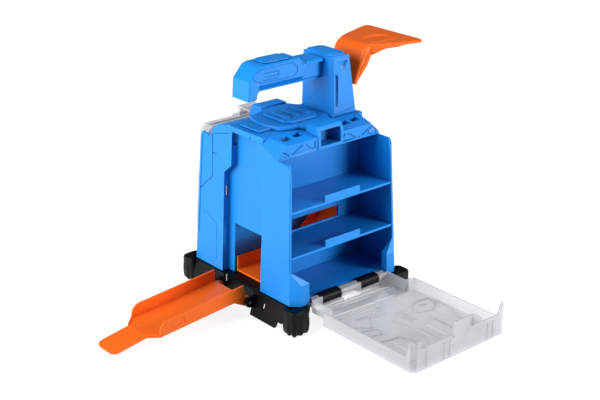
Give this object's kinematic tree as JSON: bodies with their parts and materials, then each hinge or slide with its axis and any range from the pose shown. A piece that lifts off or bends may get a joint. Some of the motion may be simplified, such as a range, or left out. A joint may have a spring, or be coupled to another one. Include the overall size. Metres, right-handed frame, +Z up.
{
  "type": "toy garage",
  "caption": "Toy garage with a carry handle: shelved bays behind clear hinged doors, an entry chute into a tower and shaft, and a folding exit ramp.",
  "frame": {"origin": "on the floor, under the middle of the outline with the front door and the exit ramp open", "axes": "+X from the exit ramp to the entry chute, -Y out of the open front, +Z up"},
  "size_m": [0.3032, 0.2668, 0.2065],
  "materials": {
    "left_panel": "satin",
    "right_panel": "satin",
    "roof": "satin",
    "roof_deck": "satin",
    "ribbed_plate": "satin",
    "tower_shell": "satin",
    "tower_cap": "satin",
    "handle_arm": "satin",
    "grip_pad": "satin",
    "entry_chute": "satin",
    "inner_slide": "satin",
    "exit_ramp": "satin",
    "base_tray": "matte",
    "ramp_pin": "satin",
    "front_upper_shelf": "satin",
    "front_lower_shelf": "satin",
    "front_floor": "satin",
    "front_partition": "satin",
    "front_socket": "satin",
    "front_door": "clear gloss",
    "front_pin": "satin",
    "front_left_foot": "matte",
    "front_left_knuckle": "satin",
    "front_left_screw": "satin",
    "front_right_foot": "matte",
    "front_right_knuckle": "satin",
    "front_right_screw": "satin",
    "rear_upper_shelf": "satin",
    "rear_lower_shelf": "satin",
    "rear_floor": "satin",
    "rear_partition": "satin",
    "rear_socket": "satin",
    "rear_door": "clear gloss",
    "rear_pin": "satin",
    "rear_left_foot": "matte",
    "rear_left_knuckle": "satin",
    "rear_left_screw": "satin",
    "rear_right_foot": "matte",
    "rear_right_knuckle": "satin",
    "rear_right_screw": "satin"
  },
  "bodies": {
    "case": {"left_panel": "left_panel", "right_panel": "right_panel", "roof": "roof", "roof_deck": "roof_deck", "ribbed_plate": "ribbed_plate", "tower_shell": "tower_shell", "tower_cap": "tower_cap", "handle_arm": "handle_arm", "grip_pad": "grip_pad", "entry_chute": "entry_chute", "inner_slide": "inner_slide", "base_tray": "base_tray", "ramp_pin": "ramp_pin", "front_upper_shelf": "front_upper_shelf", "front_lower_shelf": "front_lower_shelf", "front_floor": "front_floor", "front_partition": "front_partition", "front_socket": "front_socket", "front_pin": "front_pin", "front_left_foot": "front_left_foot", "front_left_knuckle": "front_left_knuckle", "front_left_screw": "front_left_screw", "front_right_foot": "front_right_foot", "front_right_knuckle": "front_right_knuckle", "front_right_screw": "front_right_screw", "rear_upper_shelf": "rear_upper_shelf", "rear_lower_shelf": "rear_lower_shelf", "rear_floor": "rear_floor", "rear_partition": "rear_partition", "rear_socket": "rear_socket", "rear_pin": "rear_pin", "rear_left_foot": "rear_left_foot", "rear_left_knuckle": "rear_left_knuckle", "rear_left_screw": "rear_left_screw", "rear_right_foot": "rear_right_foot", "rear_right_knuckle": "rear_right_knuckle", "rear_right_screw": "rear_right_screw"},
    "front_door": {"front_door": "front_door"},
    "rear_door": {"rear_door": "rear_door"},
    "exit_ramp": {"exit_ramp": "exit_ramp"}
  },
  "joints": [
    {"name": "front_door_hinge", "type": "hinge", "parent": "case", "child": "front_door", "pos_m": [0.0406, -0.0074, 0.022], "axis": [1, 0, 0], "range_deg": [-92.3, 0]},
    {"name": "rear_door_hinge", "type": "hinge", "parent": "case", "child": "rear_door", "pos_m": [0.0406, 0.1246, 0.022], "axis": [-1, 0, 0], "range_deg": [0, 92.3]},
    {"name": "exit_ramp_hinge", "type": "hinge", "parent": "case", "child": "exit_ramp", "pos_m": [-0.0274, 0.0586, 0.014], "axis": [0, 1, 0], "range_deg": [0, 94.8]}
  ]
}
